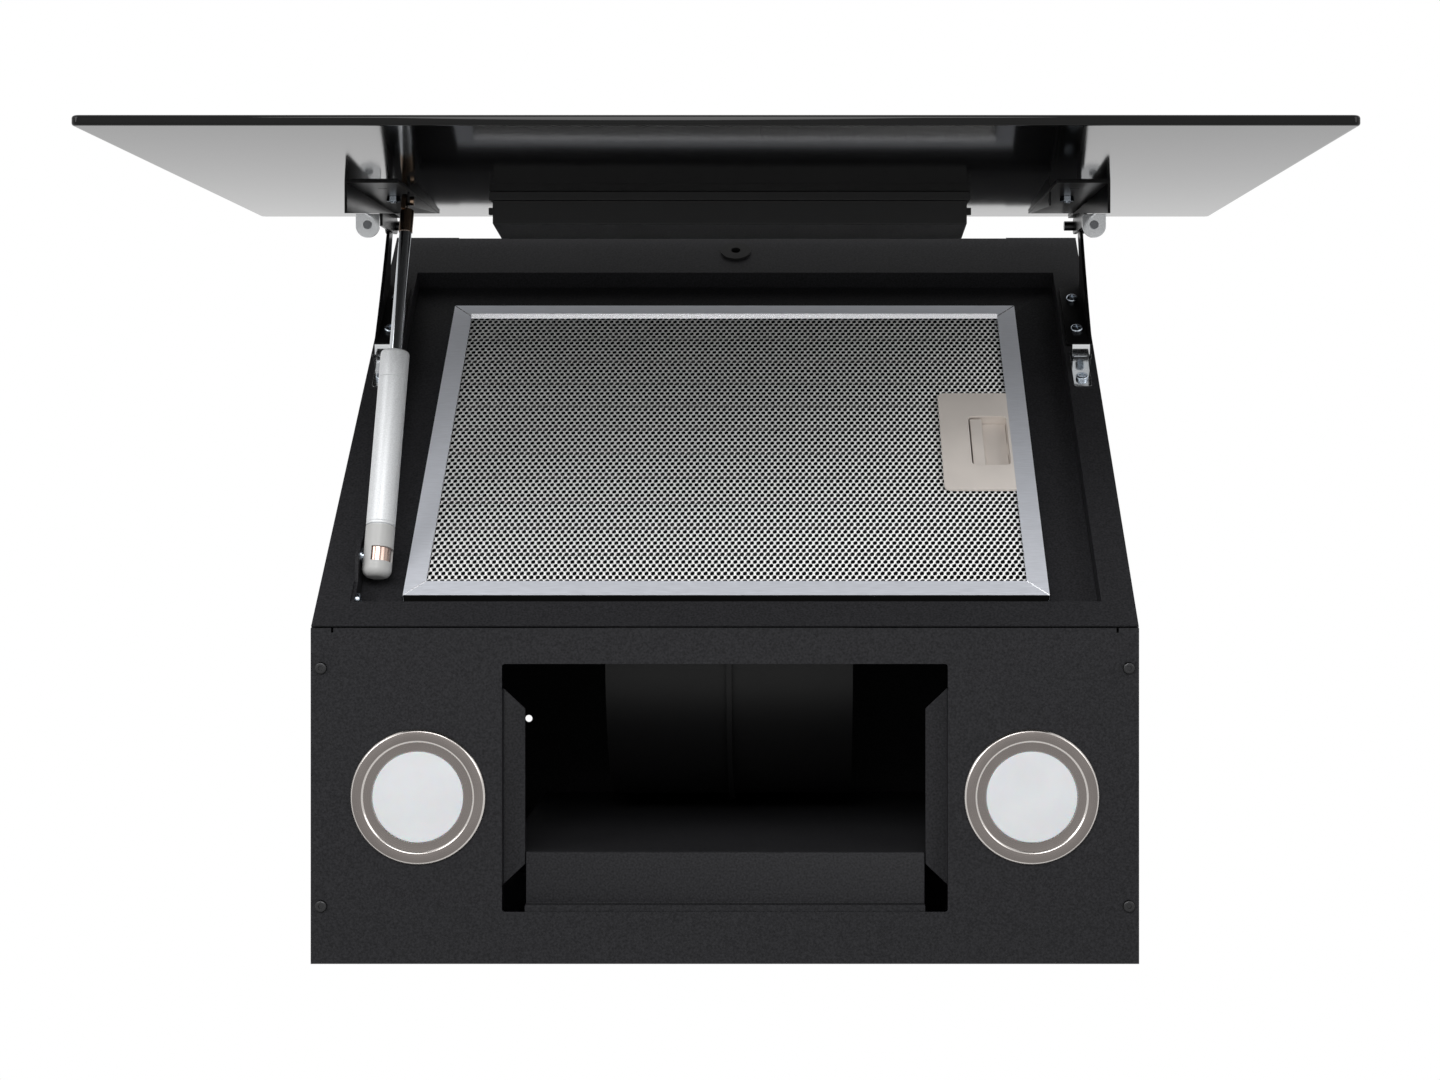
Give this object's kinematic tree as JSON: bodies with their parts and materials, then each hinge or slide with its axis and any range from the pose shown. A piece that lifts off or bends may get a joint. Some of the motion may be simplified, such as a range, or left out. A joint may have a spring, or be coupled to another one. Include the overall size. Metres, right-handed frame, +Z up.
{
  "type": "range hood insert",
  "caption": "Inclined wall cooker hood with a black glass front opened on top hinges and one gas strut, a mesh grease filter, two round lamps and a lower air intake.",
  "frame": {"origin": "middle of the four wall screw holes, on the wall's face", "axes": "+X to the right along the wall as the cook faces it, +Y into the wall, +Z up; the glass front is towards -Y"},
  "size_m": [0.6, 0.4274, 0.5103],
  "materials": {
    "black_sheet": "satin powder coat",
    "zinc_sheet": "plain zinc-plated",
    "black_screw": "blackened steel",
    "zinc_screw": "bright zinc-plated",
    "black_rubber": "matt",
    "lamp_metal": "brushed",
    "lamp_lens": "opal",
    "lamp_sink": "plain",
    "black_plastic": "fine texture",
    "motor_steel": "plain",
    "terminal_plastic": "plain",
    "black_glass": "polished, back-printed black",
    "circuit_board": "solder mask",
    "bronze": "yellow-passivated",
    "silver_barrel": "satin silver",
    "grey_cap": "satin",
    "bright_steel": "polished",
    "filter_aluminium": "mill finish",
    "latch_plastic": "satin grey"
  },
  "bodies": {
    "hood": {"side_panel_left": "black_sheet", "side_panel_right": "black_sheet", "back_panel": "zinc_sheet", "top_panel": "black_sheet", "lamp_panel": "black_sheet", "lamp_panel_screws": "black_screw", "filter_tray": "black_sheet", "cable_grommet": "black_rubber", "plenum_back_wall": "black_sheet", "intake_rail_left": "black_sheet", "intake_rail_right": "black_sheet", "lamp_bezel_left": "lamp_metal", "lamp_bezel_right": "lamp_metal", "lamp_diffuser_left": "lamp_lens", "lamp_diffuser_right": "lamp_lens", "lamp_can_left": "lamp_sink", "lamp_can_right": "lamp_sink", "hinge_arm_left": "black_sheet", "hinge_arm_right": "black_sheet", "hinge_bolts": "black_screw", "body_screws": "zinc_screw", "catch_clips": "zinc_sheet", "strut_bracket": "black_sheet", "strut_foot_stud": "zinc_screw", "scroll_half_left": "black_plastic", "scroll_half_right": "black_plastic", "motor": "motor_steel", "motor_bracket": "zinc_sheet", "capacitor": "lamp_sink", "outlet_spigot": "black_plastic", "flap_pin": "zinc_screw", "power_box": "black_plastic", "power_box_lid": "black_plastic", "terminal_block": "terminal_plastic", "cable_gland": "black_plastic"},
    "glass_front": {"glass_panel": "black_glass", "lid_bracket_left": "black_sheet", "lid_bracket_right": "black_sheet", "bracket_nuts": "zinc_screw", "catch_tongues": "zinc_sheet", "tongue_rivets": "zinc_screw", "control_housing": "black_plastic", "control_cover": "black_plastic", "control_board": "circuit_board", "strut_head_stud": "bronze"},
    "strut_barrel": {"strut_end_cap": "grey_cap", "strut_socket": "bright_steel", "strut_cylinder": "silver_barrel", "strut_collar": "silver_barrel"},
    "strut_piston": {"strut_rod": "bright_steel", "strut_end_fitting": "bronze"},
    "grease_filter": {"filter_frame": "filter_aluminium", "filter_mesh_front": "filter_aluminium", "filter_mesh_core": "filter_aluminium", "filter_latch_plate": "latch_plastic", "filter_latch_spring": "bright_steel"},
    "latch": {"filter_latch_slider": "latch_plastic"},
    "front_flap": {"flap_front": "black_plastic"},
    "rear_flap": {"flap_rear": "black_plastic"},
    "fan": {"impeller": "black_plastic"}
  },
  "joints": [
    {"name": "glass_hinge", "type": "hinge", "parent": "hood", "child": "glass_front", "pos_m": [0, -0.41684, 0.10201], "axis": [1, 0, 0], "range_deg": [0, 39.2], "stiffness_Nm_per_rad": 1.5, "springref_deg": -28.65},
    {"name": "strut_swing", "type": "hinge", "parent": "hood", "child": "strut_barrel", "pos_m": [-0.1909, -0.21517, -0.10966], "axis": [1, 0, 0], "range_deg": [-26, 0]},
    {"name": "strut_slide", "type": "slide", "parent": "strut_barrel", "child": "strut_piston", "axis": [0.0328, -0.9556, 0.293], "range_m": [-0.069, 0]},
    {"name": "filter_tilt", "type": "hinge", "parent": "hood", "child": "grease_filter", "pos_m": [-0.176, -0.27421, -0.0129], "axis": [0, -0.632, 0.7749], "range_deg": [-9, 0]},
    {"name": "latch_slide", "type": "slide", "parent": "grease_filter", "child": "latch", "axis": [1, 0, 0], "range_m": [-0.006, 0], "stiffness_N_per_m": 150, "springref_m": 0.004, "deforming": ["filter_latch_spring"]},
    {"name": "front_flap_hinge", "type": "hinge", "parent": "hood", "child": "front_flap", "pos_m": [0, -0.127, 0.14448], "axis": [-1, 0, 0], "range_deg": [0, 80]},
    {"name": "rear_flap_hinge", "type": "hinge", "parent": "hood", "child": "rear_flap", "pos_m": [0, -0.127, 0.14448], "axis": [1, 0, 0], "range_deg": [0, 80]},
    {"name": "fan_spin", "type": "hinge", "parent": "hood", "child": "fan", "pos_m": [0, -0.165, 0.035], "axis": [1, 0, 0], "continuous": true}
  ],
  "couplings": [
    {"joint": "strut_swing", "follows": "glass_hinge", "ratio": -0.66},
    {"joint": "strut_slide", "follows": "glass_hinge", "m_per_rad": -0.1}
  ]
}
